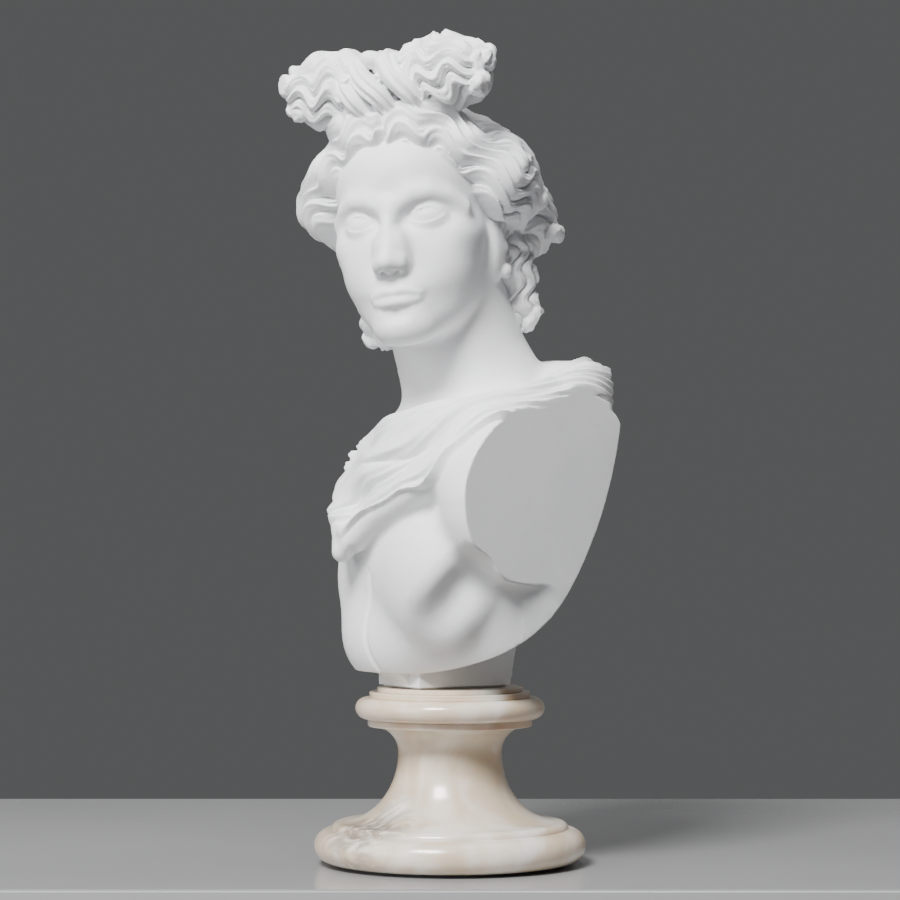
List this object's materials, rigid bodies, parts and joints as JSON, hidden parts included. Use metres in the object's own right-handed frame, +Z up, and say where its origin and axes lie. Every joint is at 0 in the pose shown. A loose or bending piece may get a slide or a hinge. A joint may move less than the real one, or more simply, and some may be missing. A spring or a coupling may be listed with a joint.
{
  "type": "marble bust",
  "caption": "Classical draped marble bust with curled, knotted hair, turned head and cut-off arms, pinned to a turned alabaster socle.",
  "frame": {"origin": "centre of the felt pad's underside, on the socle's axis, where the bust stands", "axes": "+Z up along the socle's axis; the figure's chest faces -Y and its left arm is at +X"},
  "size_m": [0.2489, 0.2364, 0.6434],
  "materials": {
    "marble": "fine white cast marble, honed matt",
    "alabaster": "cream alabaster with grey-brown veins, polished",
    "bedding": "matt bedding compound",
    "brass": "machined",
    "steel": "zinc plated",
    "felt": "dark pressed felt"
  },
  "bodies": {
    "root": {"bust": "marble", "socle": "alabaster", "bedding_pad": "bedding", "rod_anchor": "brass", "mounting_rod": "steel", "plate_washer": "steel", "spring_washer": "steel", "hex_nut": "steel", "dowel_front": "steel", "dowel_back": "steel", "felt_pad": "felt"}
  },
  "joints": []
}
